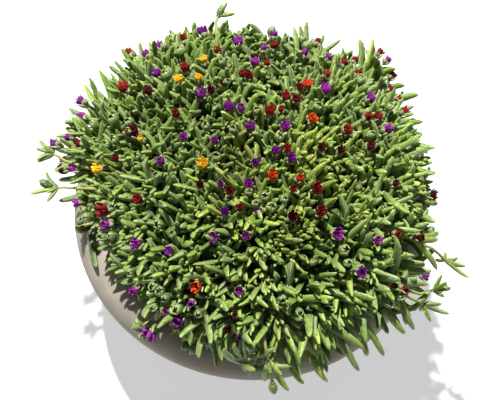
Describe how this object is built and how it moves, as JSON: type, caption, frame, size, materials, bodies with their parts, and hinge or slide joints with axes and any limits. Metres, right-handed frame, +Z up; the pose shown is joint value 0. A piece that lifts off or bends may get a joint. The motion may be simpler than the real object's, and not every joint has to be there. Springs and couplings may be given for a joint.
{
  "type": "potted ice plant",
  "caption": "Broad round planter of soil with a dense mound of fleshy finger-leaved shoots and small brush-like blooms in mixed colours.",
  "frame": {"origin": "on the pot's axis, on the plane that the pot stands on", "axes": "+Z up; -Y towards the side that the picture shows nearest, where leaves hang over the rim; +X to that view's right"},
  "size_m": [0.315, 0.2911, 0.217],
  "materials": {
    "pot": "matte, beige grey, with fine streaks round the rim",
    "soil": "dark and crumbly",
    "foliage": "fleshy and satin, with fine glistening beads",
    "petal_purple": "silky and thin",
    "petal_red": "silky and thin",
    "petal_orange": "silky and thin",
    "petal_yellow": "silky and thin"
  },
  "bodies": {
    "root": {"bloom_orange_01": "petal_orange", "bloom_orange_02": "petal_orange", "bloom_orange_03": "petal_orange", "bloom_orange_04": "petal_orange", "bloom_orange_05": "petal_orange", "bloom_purple_01": "petal_purple", "bloom_purple_02": "petal_purple", "bloom_purple_03": "petal_purple", "bloom_purple_04": "petal_purple", "bloom_purple_05": "petal_purple", "bloom_purple_06": "petal_purple", "bloom_purple_07": "petal_purple", "bloom_purple_08": "petal_purple", "bloom_purple_09": "petal_purple", "bloom_purple_10": "petal_purple", "bloom_purple_11": "petal_purple", "bloom_purple_12": "petal_purple", "bloom_purple_13": "petal_purple", "bloom_purple_14": "petal_purple", "bloom_purple_15": "petal_purple", "bloom_purple_16": "petal_purple", "bloom_purple_17": "petal_purple", "bloom_purple_18": "petal_purple", "bloom_purple_19": "petal_purple", "bloom_purple_20": "petal_purple", "bloom_purple_21": "petal_purple", "bloom_purple_22": "petal_purple", "bloom_purple_23": "petal_purple", "bloom_purple_24": "petal_purple", "bloom_red_01": "petal_red", "bloom_red_02": "petal_red", "bloom_red_03": "petal_red", "bloom_red_04": "petal_red", "bloom_red_05": "petal_red", "bloom_red_06": "petal_red", "bloom_red_07": "petal_red", "bloom_red_08": "petal_red", "bloom_red_09": "petal_red", "bloom_red_10": "petal_red", "bloom_red_11": "petal_red", "bloom_red_12": "petal_red", "bloom_red_13": "petal_red", "bloom_red_14": "petal_red", "bloom_red_15": "petal_red", "bloom_red_16": "petal_red", "bloom_yellow_01": "petal_yellow", "bloom_yellow_02": "petal_yellow", "bloom_yellow_03": "petal_yellow", "bloom_yellow_04": "petal_yellow", "clump_back": "foliage", "clump_back_left": "foliage", "clump_back_right": "foliage", "clump_crown": "foliage", "clump_front": "foliage", "clump_front_left": "foliage", "clump_front_right": "foliage", "clump_left": "foliage", "clump_right": "foliage", "pot": "pot", "soil": "soil"}
  },
  "joints": []
}
